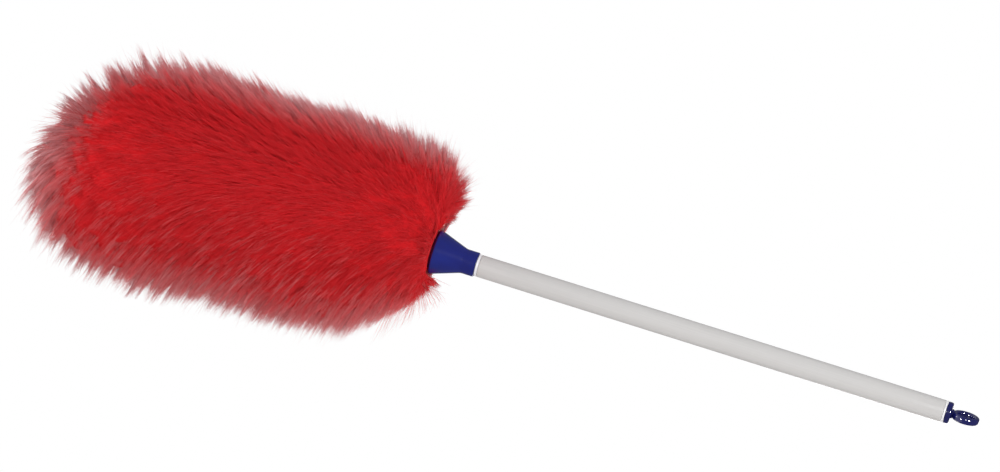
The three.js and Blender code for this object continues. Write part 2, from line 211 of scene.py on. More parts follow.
def make_camera():
    """The duster lies across the picture, head to the left and its loop end a little nearer."""
    elevation = math.radians(6)
    slope = math.radians(17.36)  # the handle runs down to the right by this angle
    width = 0.905  # what the picture spans at the duster
    look = Vector((0, math.cos(elevation), -math.sin(elevation)))
    side = Vector((1, 0, 0))
    rise = side.cross(look)
    right = -math.sin(slope) * side + math.cos(slope) * rise
    up = -math.cos(slope) * side - math.sin(slope) * rise
    aside = 0.0234 * width  # from the collar's upper end to the picture's middle
    above = 0.0289 * width
    target = Vector((0, 0, collar_top)) + aside * right + above * up
    data = bpy.data.cameras.new("studio_camera")
    data.lens = 180
    data.clip_end = 100
    camera = bpy.data.objects.new("studio_camera", data)
    bpy.context.scene.collection.objects.link(camera)
    distance = width * data.lens / data.sensor_width
    turn = Matrix((right, up, -look)).transposed().to_4x4()
    camera.matrix_world = Matrix.Translation(target - distance * look) @ turn
    bpy.context.scene.camera = camera
    return look, right, up


look, right, up = make_camera()


# ---------------------------------------------------------------- light and floor

WHITE = (1, 1, 1, 1)
SOFT_COOL = (0.64, 0.64, 0.65, 1)
SOFT_WARM = (0.84, 0.81, 0.79, 1)
DIM = (0.15, 0.15, 0.16, 1)
FLOOR_TONE = (0.92, 0.92, 0.92, 1)
FLOOR_HALF = 9
FLOOR_LEVEL = -4


def area_light(name, place, aim, size, power):
    """A white disk lamp that shines from a place towards an aim."""
    data = bpy.data.lights.new(name, "AREA")
    data.shape = "DISK"
    data.size = size
    data.energy = power
    lamp = bpy.data.objects.new(name, data)
    lamp.location = place
    lamp.rotation_mode = "QUATERNION"
    lamp.rotation_quaternion = (aim - place).to_track_quat("-Z", "Y")
    bpy.context.scene.collection.objects.link(lamp)
    return lamp


def make_world():
    """White to the camera and dim in reflections; as light, a soft grey, brighter on the +X side."""
    world = bpy.data.worlds.new("studio")
    world.use_nodes = True
    nodes, links = world.node_tree.nodes, world.node_tree.links
    nodes.clear()
    out = nodes.new("ShaderNodeOutputWorld")
    path = nodes.new("ShaderNodeLightPath")
    place = nodes.new("ShaderNodeTexCoord")
    split = nodes.new("ShaderNodeSeparateXYZ")
    across = nodes.new("ShaderNodeMapRange")
    ramp = nodes.new("ShaderNodeValToRGB")
    seen = nodes.new("ShaderNodeBackground")
    lit = nodes.new("ShaderNodeBackground")
    reflected = nodes.new("ShaderNodeBackground")
    unseen_mix = nodes.new("ShaderNodeMixShader")
    mix = nodes.new("ShaderNodeMixShader")
    across.inputs["From Min"].default_value = -1
    ramp.color_ramp.elements[0].color = SOFT_COOL
    ramp.color_ramp.elements[1].color = SOFT_WARM
    seen.inputs["Color"].default_value = WHITE
    reflected.inputs["Color"].default_value = DIM
    links.new(place.outputs["Generated"], split.inputs[0])
    links.new(split.outputs["X"], across.inputs["Value"])
    links.new(across.outputs[0], ramp.inputs["Fac"])
    links.new(ramp.outputs["Color"], lit.inputs["Color"])
    links.new(path.outputs["Is Glossy Ray"], unseen_mix.inputs["Fac"])
    links.new(lit.outputs[0], unseen_mix.inputs[1])
    links.new(reflected.outputs[0], unseen_mix.inputs[2])
    links.new(path.outputs["Is Camera Ray"], mix.inputs["Fac"])
    links.new(unseen_mix.outputs[0], mix.inputs[1])
    links.new(seen.outputs[0], mix.inputs[2])
    links.new(mix.outputs[0], out.inputs["Surface"])
    bpy.context.scene.world = world


def make_lamps():
    """Soft lamps for the wool and the handle, and three small ones for the blue plastic's glints."""
    centre = (CAD_BOX[0] + CAD_BOX[1]) / 2
    near = centre - 1.6 * look  # the small lamps' distance towards the camera
    key = area_light("key", centre - 2.4 * look + 0.1 * up, centre, size=1.7, power=7.6)
    grip = Vector((0, 0, -0.162))  # the edge lamp grazes the tube's upper edge here
    edge = area_light("edge", grip + Vector((-1.08, -0.19, -0.115)), grip, size=0.1, power=0.5)
    for lamp in (key, edge):
        lamp.visible_glossy = False
    tip_place = centre - 2.2 * right - 0.4 * look + 0.9 * up
    area_light("tip", tip_place, centre - 0.4 * right, size=1, power=15)
    area_light("back", centre + Vector((0.6, 2.4, 0.9)), centre, size=1.6, power=24)
    area_light("glint_a", near + 0.1 * up + 0.45 * right, centre, size=0.12, power=5)
    glint_b = area_light("glint_b", near + 0.3 * up - 0.8 * right, centre, size=0.25, power=44)
    glint_c = area_light("glint_c", near + 1.3 * right, centre, size=0.25, power=44)
    for lamp in (glint_b, glint_c):
        lamp.visible_diffuse = False


def make_floor():
    square = ((-1, -1), (1, -1), (1, 1), (-1, 1))
    corners = [(x * FLOOR_HALF, y * FLOOR_HALF, FLOOR_LEVEL) for x, y in square]
    mesh = bpy.data.meshes.new("floor")
    mesh.from_pydata(corners, [], [(0, 1, 2, 3)])
    mesh.materials.append(bpy.data.materials.new("floor"))
    mesh.materials[0].use_nodes = True
    shader = mesh.materials[0].node_tree.nodes["Principled BSDF"]
    shader.inputs["Base Color"].default_value = FLOOR_TONE
    floor = bpy.data.objects.new("floor", mesh)
    bpy.context.scene.collection.objects.link(floor)


bpy.context.scene.view_settings.view_transform = "Standard"
make_world()
make_lamps()
make_floor()


# ---------------------------------------------------------------- materials

def srgb(*values):
    """Linear colour of an 8-bit display colour."""
    shares = [v / 255 for v in values]
    return tuple(c / 12.92 if c <= 0.04045 else ((c + 0.055) / 1.055) ** 2.4 for c in shares) + (1,)


class Recipe:
    """A node material under construction: one Principled shader and what feeds it."""

    def __init__(self, name, **values):
        self.material = bpy.data.materials.new(name)
        self.material.use_nodes = True
        self.nodes = self.material.node_tree.nodes
        self.links = self.material.node_tree.links
        self.shader = self.nodes["Principled BSDF"]
        for key, value in values.items():
            self.shader.inputs[key.replace("_", " ")].default_value = value
        self.place = self.nodes.new("ShaderNodeTexCoord").outputs["Object"]

    def stretched(self, scale):
        """Object coordinates, scaled along each axis."""
        mapping = self.nodes.new("ShaderNodeMapping")
        mapping.inputs["Scale"].default_value = scale
        self.links.new(self.place, mapping.inputs["Vector"])
        return mapping.outputs[0]

    def noise(self, scale, detail=3, place=None):
        """A 0 to 1 noise; scale is in waves a metre."""
        node = self.nodes.new("ShaderNodeTexNoise")
        node.inputs["Scale"].default_value = scale
        node.inputs["Detail"].default_value = detail
        self.links.new(place or self.place, node.inputs["Vector"])
        return node.outputs["Fac"]

    def ramp(self, factor, *stops):
        """Colour against a 0 to 1 value, from (position, colour) stops."""
        node = self.nodes.new("ShaderNodeValToRGB")
        elements = node.color_ramp.elements
        while len(elements) < len(stops):
            elements.new(1)
        for element, (position, colour) in zip(elements, stops):
            element.position = position
            element.color = colour
        self.links.new(factor, node.inputs["Fac"])
        return node.outputs["Color"]

    def blend(self, factor, a, b, mode="MIX"):
        """Colours a and b mixed; each argument is a value or a socket."""
        node = self.nodes.new("ShaderNodeMix")
        node.data_type = "RGBA"
        node.blend_type = mode
        for value, socket in ((factor, node.inputs[0]), (a, node.inputs[6]), (b, node.inputs[7])):
            if isinstance(value, bpy.types.NodeSocket):
                self.links.new(value, socket)
            else:
                socket.default_value = value
        return node.outputs[2]

    def spread(self, value, low, high):
        """A 0 to 1 value rescaled to run from low to high."""
        node = self.nodes.new("ShaderNodeMapRange")
        node.inputs["To Min"].default_value = low
        node.inputs["To Max"].default_value = high
        self.links.new(value, node.inputs["Value"])
        return node.outputs[0]

    def feed(self, name, value):
        """Links a socket to one of the shader's inputs."""
        self.links.new(value, self.shader.inputs[name])

    def bump(self, height, distance):
        node = self.nodes.new("ShaderNodeBump")
        node.inputs["Distance"].default_value = distance
        node.inputs["Strength"].default_value = 1
        self.links.new(height, node.inputs["Height"])
        self.feed("Normal", node.outputs[0])


def moulded(name, colour, deep, roughness, gloss):
    """Injection-moulded plastic: faint flow mottling, uneven gloss and a slightly wavy skin."""
    recipe = Recipe(name, Specular_IOR_Level=gloss)
    flow = recipe.noise(60, detail=4, place=recipe.stretched((1, 1, 0.35)))
    recipe.feed("Base Color", recipe.ramp(flow, (0.3, deep), (0.7, colour)))
    recipe.feed("Roughness", recipe.spread(recipe.noise(240), 0.7 * roughness, 1.4 * roughness))
    recipe.bump(recipe.noise(150, detail=2), 0.012 * MM)
    return recipe.material


def drawn(name, colour, deep, roughness):
    """Extruded tube: fine draw lines along the handle, and faint smudges."""
    recipe = Recipe(name, Specular_IOR_Level=0.3)
    lines = recipe.noise(900, detail=2, place=recipe.stretched((1, 1, 0.012)))
    smudge = recipe.noise(28)
    base = recipe.ramp(lines, (0.3, deep), (0.7, colour))
    recipe.feed("Base Color", recipe.blend(recipe.spread(smudge, 0, 0.12), base, deep))
    recipe.feed("Roughness", recipe.spread(smudge, roughness - 0.05, roughness + 0.08))
    recipe.bump(lines, 0.004 * MM)
    return recipe.material


def with_painted_lip_shade(name, colour, deep, lip_shade, roughness, gloss):
    """Moulded plastic with painted shade on its curled lip: a dark violet band at the mouth stands for
    the shade there and the wool's red light bounced into it.
    """
    material = moulded(name, colour, deep, roughness, gloss)
    nodes, links = material.node_tree.nodes, material.node_tree.links
    base = nodes["Principled BSDF"].inputs["Base Color"]
    split = nodes.new("ShaderNodeSeparateXYZ")
    lip_shade_band = nodes.new("ShaderNodeMapRange")
    mix = nodes.new("ShaderNodeMix")
    mix.data_type = "RGBA"
    # The band at the mouth's level that takes the painted lip shade.
    lip_shade_band.inputs["From Min"].default_value = mouth_level - 0.2 * LIP
    lip_shade_band.inputs["From Max"].default_value = mouth_level + 0.1 * LIP
    mix.inputs[6].default_value = lip_shade
    links.new(nodes["Texture Coordinate"].outputs["Object"], split.inputs[0])
    links.new(split.outputs["Z"], lip_shade_band.inputs["Value"])
    links.new(lip_shade_band.outputs[0], mix.inputs[0])
    links.new(base.links[0].from_socket, mix.inputs[7])
    links.new(mix.outputs[2], base)
    return material


def steel_finish():
    """Drawn steel with fine lines round each piece."""
    recipe = Recipe("steel", Metallic=1)
    grain = recipe.noise(1600, detail=2, place=recipe.stretched((0.15, 0.15, 1)))
    recipe.feed("Base Color", recipe.ramp(grain, (0.3, srgb(158, 162, 168)), (0.7, srgb(196, 199, 203))))
    recipe.feed("Roughness", recipe.spread(grain, 0.22, 0.42))
    recipe.bump(grain, 0.01 * MM)
    return recipe.material


def wood_finish():
    """Pale wood, its grain along the handle."""
    recipe = Recipe("wood", Specular_IOR_Level=0.3)
    warp = recipe.noise(14, detail=4, place=recipe.stretched((1, 1, 0.08)))
    grain = recipe.noise(520, detail=5, place=recipe.stretched((1, 1, 0.03)))
    tone = recipe.ramp(warp, (0.35, srgb(186, 146, 96)), (0.65, srgb(214, 178, 128)))
    recipe.feed("Base Color", recipe.blend(recipe.spread(grain, 0.1, 0.6), tone, srgb(160, 118, 72)))
    recipe.feed("Roughness", recipe.spread(grain, 0.55, 0.8))
    recipe.bump(grain, 0.08 * MM)
    return recipe.material


def hide_finish():
    """Tanned skin with a fine cell pattern and uneven dye."""
    recipe = Recipe("hide", Specular_IOR_Level=0.25)
    cells = recipe.nodes.new("ShaderNodeTexVoronoi")
    cells.inputs["Scale"].default_value = 900
    recipe.links.new(recipe.place, cells.inputs["Vector"])
    mottle = recipe.noise(45, detail=4)
    recipe.feed("Base Color", recipe.ramp(mottle, (0.3, srgb(146, 92, 74)), (0.7, srgb(176, 132, 104))))
    recipe.feed("Roughness", recipe.spread(mottle, 0.7, 0.9))
    recipe.bump(cells.outputs["Distance"], 0.15 * MM)
    return recipe.material


# The roots' red, a little darker than the rest, is painted shade of the pile's depth.
ROOT_SHADE_RED = srgb(214, 28, 34)
WOOL_RED = srgb(222, 36, 42)
BRIGHT_RED = srgb(226, 42, 48)
# The pale red is painted sheen and light through thin tips, not a colour that the wool has.
PAINTED_SHEEN_RED = srgb(242, 186, 188)
SHEEN_PINK = (1, 0.8, 0.82, 1)
BLACK = (0, 0, 0, 1)
DEEP_STRIPE = (0.72, 0.56, 0.56, 1)  # what the darkest and the brightest fibres are multiplied by
BRIGHT_STRIPE = (1.18, 1.45, 1.45, 1)
PALENESS_FROM = 0.16  # paleness below this is only differences between fibres; above it is painted sheen


def fibre_finish(name, paleness_least, paleness_most):
    """Dyed wool fibre; darker towards the root as painted shade. u says how pale the fibre's tip is
    painted, as painted sheen and light through the tips, v runs along it from root to tip.
    """
    recipe = Recipe(name, Roughness=0.9, Specular_IOR_Level=0.02, Sheen_Weight=0.6, Sheen_Roughness=0.3)
    recipe.shader.inputs["Sheen Tint"].default_value = SHEEN_PINK
    uv = recipe.nodes.new("ShaderNodeUVMap")
    uv.uv_map = "OFBake"
    split = recipe.nodes.new("ShaderNodeSeparateXYZ")
    recipe.links.new(uv.outputs[0], split.inputs[0])
    paleness, along = split.outputs["X"], split.outputs["Y"]
    stripes = recipe.nodes.new("ShaderNodeTexNoise")
    stripes.noise_dimensions = "1D"
    stripes.inputs["Scale"].default_value = 130
    recipe.links.new(paleness, stripes.inputs["W"])
    # Darker towards the root: painted shade of the pile's depth over the dye's red.
    dyed_with_root_shade = recipe.ramp(along, (0, ROOT_SHADE_RED), (0.35, WOOL_RED), (1, BRIGHT_RED))
    sheen_amount = recipe.spread(paleness, paleness_least, paleness_most)
    sheen_amount.node.inputs["From Min"].default_value = PALENESS_FROM
    # The pale colour is painted sheen and light through the tips, kept towards the tips.
    painted_sheen = recipe.blend(sheen_amount, BRIGHT_RED, PAINTED_SHEEN_RED)
    tipped = recipe.blend(recipe.ramp(along, (0.25, BLACK), (0.85, WHITE)), dyed_with_root_shade, painted_sheen)
    tone = recipe.ramp(stripes.outputs["Fac"], (0.3, DEEP_STRIPE), (0.7, BRIGHT_STRIPE))
    recipe.feed("Base Color", recipe.blend(recipe.spread(paleness, 0.1, 0.9), tipped, tone, "MULTIPLY"))
    return recipe.material


def undercoat_finish():
    """Dense red wool, seen only between the locks."""
    recipe = Recipe("wool_undercoat", Roughness=0.9, Specular_IOR_Level=0.02, Sheen_Weight=0.05)
    recipe.shader.inputs["Sheen Tint"].default_value = SHEEN_PINK
    strands = recipe.noise(420, place=recipe.stretched((1, 1, 0.12)))
    clumps = recipe.noise(60, detail=4, place=recipe.stretched((1, 1, 0.4)))
    tone = recipe.ramp(strands, (0.35, srgb(200, 26, 32)), (0.65, srgb(220, 34, 40)))
    recipe.feed("Base Color", recipe.blend(recipe.spread(clumps, 0, 0.3), tone, srgb(196, 26, 32)))
    recipe.bump(strands, 0.8 * MM)
    return recipe.material


BLUE = srgb(27, 40, 130)
DEEP_BLUE = srgb(25, 32, 114)
# The cone lip's dark violet is painted shade, tinted by the wool's red light bounced onto it.
LIP_PAINTED_SHADE = srgb(34, 8, 52)

# Moulded: name, colour, deeper tone, roughness, gloss; the cone's finish has its painted lip shade
# colour after the deeper tone. Drawn: the same without gloss.
FINISHES = {
    "blue_plastic": moulded("blue_plastic", BLUE, DEEP_BLUE, 0.2, 0.22),
    "cone_plastic_painted_lip_shade": with_painted_lip_shade("cone_plastic_painted_lip_shade", BLUE, DEEP_BLUE, LIP_PAINTED_SHADE, 0.08, 0.8),
    "navy_plastic": moulded("navy_plastic", srgb(24, 28, 96), srgb(18, 20, 76), 0.11, 1),
    "white_plastic": moulded("white_plastic", srgb(250, 250, 252), srgb(244, 244, 248), 0.34, 0.4),
    "tube_plastic": drawn("tube_plastic", srgb(209, 208, 207), srgb(204, 203, 202), 0.2),
    "inner_plastic": drawn("inner_plastic", srgb(228, 228, 226), srgb(222, 222, 220), 0.36),
    "lock_plastic": moulded("lock_plastic", srgb(48, 50, 56), srgb(38, 40, 46), 0.5, 0.4),
    "steel": steel_finish(),
    "wood": wood_finish(),
    "hide": hide_finish(),
    "wool": fibre_finish("wool", 0.0, 1.0),
    "stray_wool": fibre_finish("stray_wool", 0.1, 1.0),
    "wool_undercoat": undercoat_finish(),
}


def dress_cad_nodes():
    """Gives each CAD node its slot's finish, for the ones that no piece replaces."""
    for row in frame["record"]["subparts"]:
        node = frame["nodes"][row["node"]]
        finish = FINISHES[row["material_slot"]]
        for place in node.material_slots:
            place.material = finish


dress_cad_nodes()


# ---------------------------------------------------------------- hard pieces

def add_piece(name, mesh, body, slot, node, finish=None):
    """A mesh as a piece that rides on a body and stands for a node; its finish is the slot's own unless
    another is named.
    """
    mesh.materials.append(FINISHES[finish or slot])
    piece = bpy.data.objects.new(name, mesh)
    bpy.context.scene.collection.objects.link(piece)
    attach(piece, body)
    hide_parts(node)
    return piece


ARC_STEPS = 6


def rounded(corners):
    """A closed outline through (radius, height, rounding) corners, each rounded corner an arc.

    A point just before and after each arc keeps the shading of the straight sides straight.
    """
    points = []
    for i, (r, z, rounding) in enumerate(corners):
        here = np.array((r, z))
        if rounding <= 0:
            points.append(here)
            continue
        before = np.array(corners[i - 1][:2]) - here
        after = np.array(corners[(i + 1) % len(corners)][:2]) - here
        before = before / np.linalg.norm(before)
        after = after / np.linalg.norm(after)
        half = math.acos(np.clip(before @ after, -1, 1)) / 2
        middle = (before + after) / np.linalg.norm(before + after)
        centre = here + middle * rounding / math.sin(half)
        inset = rounding / math.tan(half)
        start = here + before * inset - centre
        end = here + after * inset - centre
        sweep = math.pi - 2 * half
        support = inset + 0.05 * rounding
        points.append(here + before * support)
        for k in range(ARC_STEPS + 1):
            share = k / ARC_STEPS
            arc = math.sin((1 - share) * sweep) * start + math.sin(share * sweep) * end
            points.append(centre + arc / math.sin(sweep))
        points.append(here + after * support)
    return np.array(points)


def grid_mesh(name, points, weld=False):
    """A closed mesh over a grid of points that wraps both ways, its faces pointing out.

    Welding joins the points that coincide, as an outline's points on the axis do.
    """
    rows, columns = points.shape[:2]
    here = np.arange(rows)[:, None] * columns
    there = (here + columns) % (rows * columns)
    k = np.arange(columns)
    k_next = (k + 1) % columns
    faces = np.stack([here + k, there + k, there + k_next, here + k_next], axis=-1)
    mesh = bpy.data.meshes.new(name)
    mesh.from_pydata(points.reshape(-1, 3).tolist(), [], faces.reshape(-1, 4).tolist())
    shell = bmesh.new()
    shell.from_mesh(mesh)
    if weld:
        bmesh.ops.remove_doubles(shell, verts=shell.verts, dist=0.001 * MM)
    bmesh.ops.recalc_face_normals(shell, faces=shell.faces)
    shell.to_mesh(mesh)
    shell.free()
    mesh.shade_smooth()
    return mesh


def turned(name, corners, segments=128):
    """A closed outline turned round Z, shaded smooth except across real corners."""
    outline = rounded(corners)
    angle = np.arange(segments) / segments * 2 * math.pi
    points = np.empty((segments, len(outline), 3))
    points[:, :, 0] = np.cos(angle)[:, None] * outline[:, 0]
    points[:, :, 1] = np.sin(angle)[:, None] * outline[:, 0]
    points[:, :, 2] = outline[:, 1]
    mesh = grid_mesh(name, points, weld=True)
    mesh.set_sharp_from_angle(angle=math.radians(35))
    return mesh


def soften(shell, verts, passes):
    """Moves points towards the middle of their neighbours, several times over."""
    for _ in range(passes):
        bmesh.ops.smooth_vert(shell, verts=verts, factor=0.5, use_axis_x=True, use_axis_y=True,
                              use_axis_z=True)


def fused(name, meshes, voxel, soft_above):
    """Several closed meshes joined into one skin, its edges softened most above a height."""
    shell = bmesh.new()
    for mesh in meshes:
        shell.from_mesh(mesh)
    joined = bpy.data.meshes.new(name + "_rough")
    shell.to_mesh(joined)
    shell.free()
    rough = bpy.data.objects.new(name + "_rough", joined)
    bpy.context.scene.collection.objects.link(rough)
    remesh = rough.modifiers.new("remesh", "REMESH")
    remesh.mode = "VOXEL"
    remesh.voxel_size = voxel
    depsgraph = bpy.context.evaluated_depsgraph_get()
    skin = bpy.data.meshes.new_from_object(rough.evaluated_get(depsgraph))
    bpy.data.objects.remove(rough)
    shell = bmesh.new()
    shell.from_mesh(skin)
    soften(shell, [v for v in shell.verts if v.co.z > soft_above], passes=7)
    soften(shell, shell.verts, passes=2)
    shell.to_mesh(skin)
    shell.free()
    skin.name = name
    skin.materials.clear()
    skin.shade_smooth()
    return skin


def make_loop():
    """The moulded eye and its neck in one skin, with the grooved stem that turns in the cap."""
    half = LOOP_THICKNESS / 2
    outer = EYE_RADIUS + loop_bar + 0.7 * MM  # smoothing takes this much off again
    soft = 2.3 * MM
    ring = turned("ring", [
        (EYE_RADIUS, -half, soft),
        (outer, -half, soft),
        (outer, half, soft),
        (EYE_RADIUS, half, soft),
    ])
    stand = Matrix.Rotation(math.pi / 2, 4, "Y")
    yaw = Matrix.Rotation(LOOP_YAW, 4, "Z")
    ring.transform(Matrix.Translation((0, 0, 0.4 * MM - EYE_RADIUS)) @ yaw @ stand)
    loop_bottom = -EYE_RADIUS - outer
    neck_top = loop_bottom + loop_bar / 2
    cap_top = cap_high.z
    web_bottom = cap_top - CAP_FLANGE - CAP_WEB
    groove_bottom = web_bottom - CLIP_THICKNESS - 2 * GAP
    stem = turned("stem", [
        (0, neck_top, 0),
        (NECK_RADIUS, neck_top, 1.5 * MM),
        (NECK_RADIUS, loop_bottom - 0.2 * MM, 0),
        (NECK_RADIUS, cap_top + GAP, 0),
        (STEM_RADIUS, cap_top + GAP, 0),
        (STEM_RADIUS, web_bottom, 0),
        (STEM_GROOVE_RADIUS, web_bottom, 0),
        (STEM_GROOVE_RADIUS, groove_bottom, 0),
        (STEM_RADIUS, groove_bottom, 0),
        (STEM_RADIUS - 0.6 * MM, loop_low.z, 0),
        (0, loop_low.z, 0),
    ], segments=64)
    loop = fused("swivel_loop", [ring, stem], voxel=0.25 * MM, soft_above=cap_top)
    add_piece("swivel_loop", loop, "hanger", "blue_plastic", "hang_loop", "navy_plastic")


def make_end_cap():
    """The flanged plug, with the web that the loop's stem turns in."""
    face = cap_high.z + 0.3 * MM
    cap_radius = cap_high.x
    spigot = REAR_BORE - GAP
    stem_hole = STEM_RADIUS + GAP
    clip_pocket = CLIP_RADIUS + GAP
    flange_bottom = cap_high.z - CAP_FLANGE
    cap = turned("loop_end_cap", [
        (stem_hole, face, 0.25 * MM),
        (cap_radius, face, 2 * MM),
        (cap_radius, flange_bottom, 0.3 * MM),
        (spigot, flange_bottom, 0),
        (spigot, cap_low.z, 0.5 * MM),
        (clip_pocket, cap_low.z, 0.2 * MM),
        (clip_pocket, flange_bottom - CAP_WEB, 0),
        (stem_hole, flange_bottom - CAP_WEB, 0),
    ])
    add_piece("loop_end_cap", cap, "handle", "blue_plastic", "end_cap", "navy_plastic")


def make_rear_ring():
    spigot = tube_bore - GAP
    flange_bottom = rear_high.z - REAR_FLANGE
    ring = turned("rear_bush", [
        (REAR_BORE, rear_high.z, 0.2 * MM),
        (tube_radius, rear_high.z, 0.35 * MM),
        (tube_radius, flange_bottom, 0.35 * MM),
        (spigot, flange_bottom, 0),
        (spigot, rear_low.z, 0.3 * MM),
        (REAR_BORE, rear_low.z, 0.2 * MM),
    ])
    add_piece("rear_bush", ring, "handle", "white_plastic", "rear_ring")


def make_tubes():
    grip = turned("grip_tube", [
        (tube_bore, tube_low.z, 0.3 * MM),
        (tube_radius, tube_low.z, 0.4 * MM),
        (tube_radius, tube_high.z, 0.4 * MM),
        (tube_bore, tube_high.z, 0.3 * MM),
    ])
    add_piece("grip_tube", grip, "handle", "tube_plastic", "outer_tube")
    inner_bore = inner_radius - INNER_WALL
    slide = turned("sliding_tube", [
        (inner_bore, inner_low.z, 0.2 * MM),
        (inner_radius, inner_low.z, 0.3 * MM),
        (inner_radius, inner_high.z, 0.3 * MM),
        (inner_bore, inner_high.z, 0.2 * MM),
    ])
    add_piece("sliding_tube", slide, "head", "inner_plastic", "inner_tube")


def make_mouth_bush():
    spigot = tube_bore - GAP
    bore = inner_radius + GAP
    flange_top = bush_low.z + MOUTH_FLANGE
    bush = turned("guide_bush", [
        (bore, bush_low.z, 0.4 * MM),
        (tube_radius, bush_low.z, 0.5 * MM),
        (tube_radius, flange_top, 0.3 * MM),
        (spigot, flange_top, 0),
        (spigot, bush_high.z, 0.4 * MM),
        (bore, bush_high.z, 0.3 * MM),
    ])
    add_piece("guide_bush", bush, "handle", "white_plastic", "mouth_bush")


def make_cone():
    """Collar, fillet, cone and curled lip outside; socket for the sliding tube inside."""
    neck = collar_top - COLLAR_LENGTH
    flare = mouth_radius + 0.5 * MM
    lip_inside = mouth_radius - LIP
    socket = inner_radius + GAP
    socket_end = inner_low.z - GAP
    hide_clear = hide_high.x + 2 * MM
    cone = turned("cone_socket", [
        (COLLAR_RADIUS, collar_top, 0.5 * MM),
        (COLLAR_RADIUS, neck, 9 * MM),
        (flare, mouth_level + 0.5 * MM, 1.5 * MM),
        (flare, mouth_level - LIP, LIP - 0.1 * MM),
        (lip_inside, mouth_level - LIP, 0),
        (lip_inside, mouth_level - LIP + CONE_WALL, 0),
        (mouth_radius - CONE_WALL, mouth_level + 1 * MM, 0),
        (hide_clear, socket_end - 2 * MM, 1 * MM),
        (CORE_RADIUS + GAP, socket_end, 0),
        (socket, socket_end + GAP, 0),
        (socket, collar_top, 0.3 * MM),
    ])
    add_piece("cone_socket", cone, "head", "blue_plastic", "cone_collar", "cone_plastic_painted_lip_shade")


make_loop()
make_end_cap()
make_rear_ring()
make_tubes()
make_mouth_bush()
make_cone()


# ---------------------------------------------------------------- wool: the pile's surface

def pile_point(angle, even):
    """Points of the pile at angles round the handle; even runs from 0 at the base to 1 at the tip."""
    beside = np.cos(angle) ** 2
    start = PILE_BASE_BESIDE * beside + PILE_BASE_FACING * (1 - beside)
    sloped = (1 + np.cos(angle)) / 2
    power = PILE_SWELL_SLOPED * sloped + PILE_SWELL_FLAT * (1 - sloped)
    top = collar_top - start
    length = top - wool_tip
    depth = even * length
    swell = 1 - np.maximum(0, 1 - depth / PILE_SWELL) ** 1.5
    into_tip = np.maximum(0, 1 - (length - depth) / PILE_TIP_DOME)
    radius = pile_radius * swell**power * np.sqrt(np.maximum(0, 1 - into_tip**2))
    x = PILE_TIP_SHIFT * even**4 + radius * np.cos(angle)
    y = radius * PILE_DEPTH_RATIO * np.sin(angle)
    return np.stack([x, y, top - depth], axis=-1)


def unit(vectors):
    return vectors / np.maximum(np.linalg.norm(vectors, axis=-1, keepdims=True), 1e-12)


def pile_normal(angle, even):
    """Outward normals of the pile's surface."""
    step = 0.004
    end = 1e-5  # the surface has no width at its very base and tip
    low, high = np.maximum(even - step, end), np.minimum(even + step, 1 - end)
    along = pile_point(angle, high) - pile_point(angle, low)
    round_ = pile_point(angle + step, even) - pile_point(angle - step, even)
    return unit(np.cross(along, round_))


def hump(depth, centre, width):
    """A bump of height 1 at a depth below the collar's upper end."""
    return np.exp(-(((depth - centre) / width) ** 2))


def fullness(angle, points):
    """How far the tips stand out from the pile's surface, or short of it, round a used duster.

    The +X side is combed full and the -X side is pressed flat. All numbers here are millimetres.
    """
    depth = (collar_top - points[..., 2]) / MM
    combed = 8 + 5 * hump(depth, 100, 24) + 4 * hump(depth, 290, 30) - 4 * hump(depth, 352, 14)
    pressed = 4 + 8 * hump(depth, 60, 26) - 4 * hump(depth, 135, 25) - 10 * hump(depth, 200, 34)
    pressed -= 3 * hump(depth, 255, 25) + 6 * hump(depth, 385, 20)
    side = (1 + np.cos(angle)) / 2
    faced = np.sin(angle) ** 2
    return (combed * side + pressed * (1 - side)) * (1 - FACED_FLATTER * faced) * MM


def painted_edge_sheen(angle, even, normal):
    """How pale the tips are painted: painted sheen along both sides turned away from ±Y, the combed one
    less, and painted light through the thin tips at the tip end, both less near the base.
    """
    painted_sheen = np.clip(1 - normal[:, 1] ** 2 / SIDE_SHEEN_TURN, 0, 1) ** 1.5
    painted_sheen *= SIDE_SHEEN_PALING - COMBED_SHEEN_LOSS * np.clip(np.cos(angle), 0, 1)
    at_tip = np.clip((even - TIP_LIGHT_START) / (1 - TIP_LIGHT_START), 0, 1) ** 1.2
    at_base = np.clip((even - BASE_SHEEN_START) / BASE_SHEEN_LENGTH, 0, 1)
    return np.maximum(painted_sheen, at_tip) * (BASE_SHEEN_SHARE + (1 - BASE_SHEEN_SHARE) * at_base)


def ceiling(points):
    """How high the wool may stand beside the cone: above the lip at its sides, under it in front."""
    x, y = points[..., 0], points[..., 1]
    radius = np.hypot(x, y)
    out = np.clip(radius - mouth_radius, 0, None) / MM
    aside = x / np.maximum(radius, 1e-6)
    combed = COMBED_LEVEL + COMBED_CLIMB * np.sqrt(np.clip(out / COMBED_REACH, 0, 1))
    pressed = PRESSED_LEVEL + PRESSED_CLIMB * np.clip(out / PRESSED_REACH, 0, 1) ** 0.6
    facing = FACING_LEVEL + FACING_SLOPE * out
    weight = aside**6
    top = weight * np.where(aside > 0, combed, pressed) + (1 - weight) * facing
    free = np.clip((radius / mouth_radius - FREE_RADII) / FREE_BLEND, 0, 1)
    slanted = SLANT_LEVEL - np.clip(x / MM - SLANT_START, 0, None)
    slanted = slanted + NO_LIMIT * np.clip(-x / mouth_radius, 0, 1)
    return collar_top + np.minimum(top + NO_LIMIT * free, slanted) * MM


def under_ceiling(points, over=0.0):
    """Points lowered to the ceiling where they stand more than over above it."""
    points[..., 2] = np.minimum(points[..., 2], ceiling(points) + over)
    return points


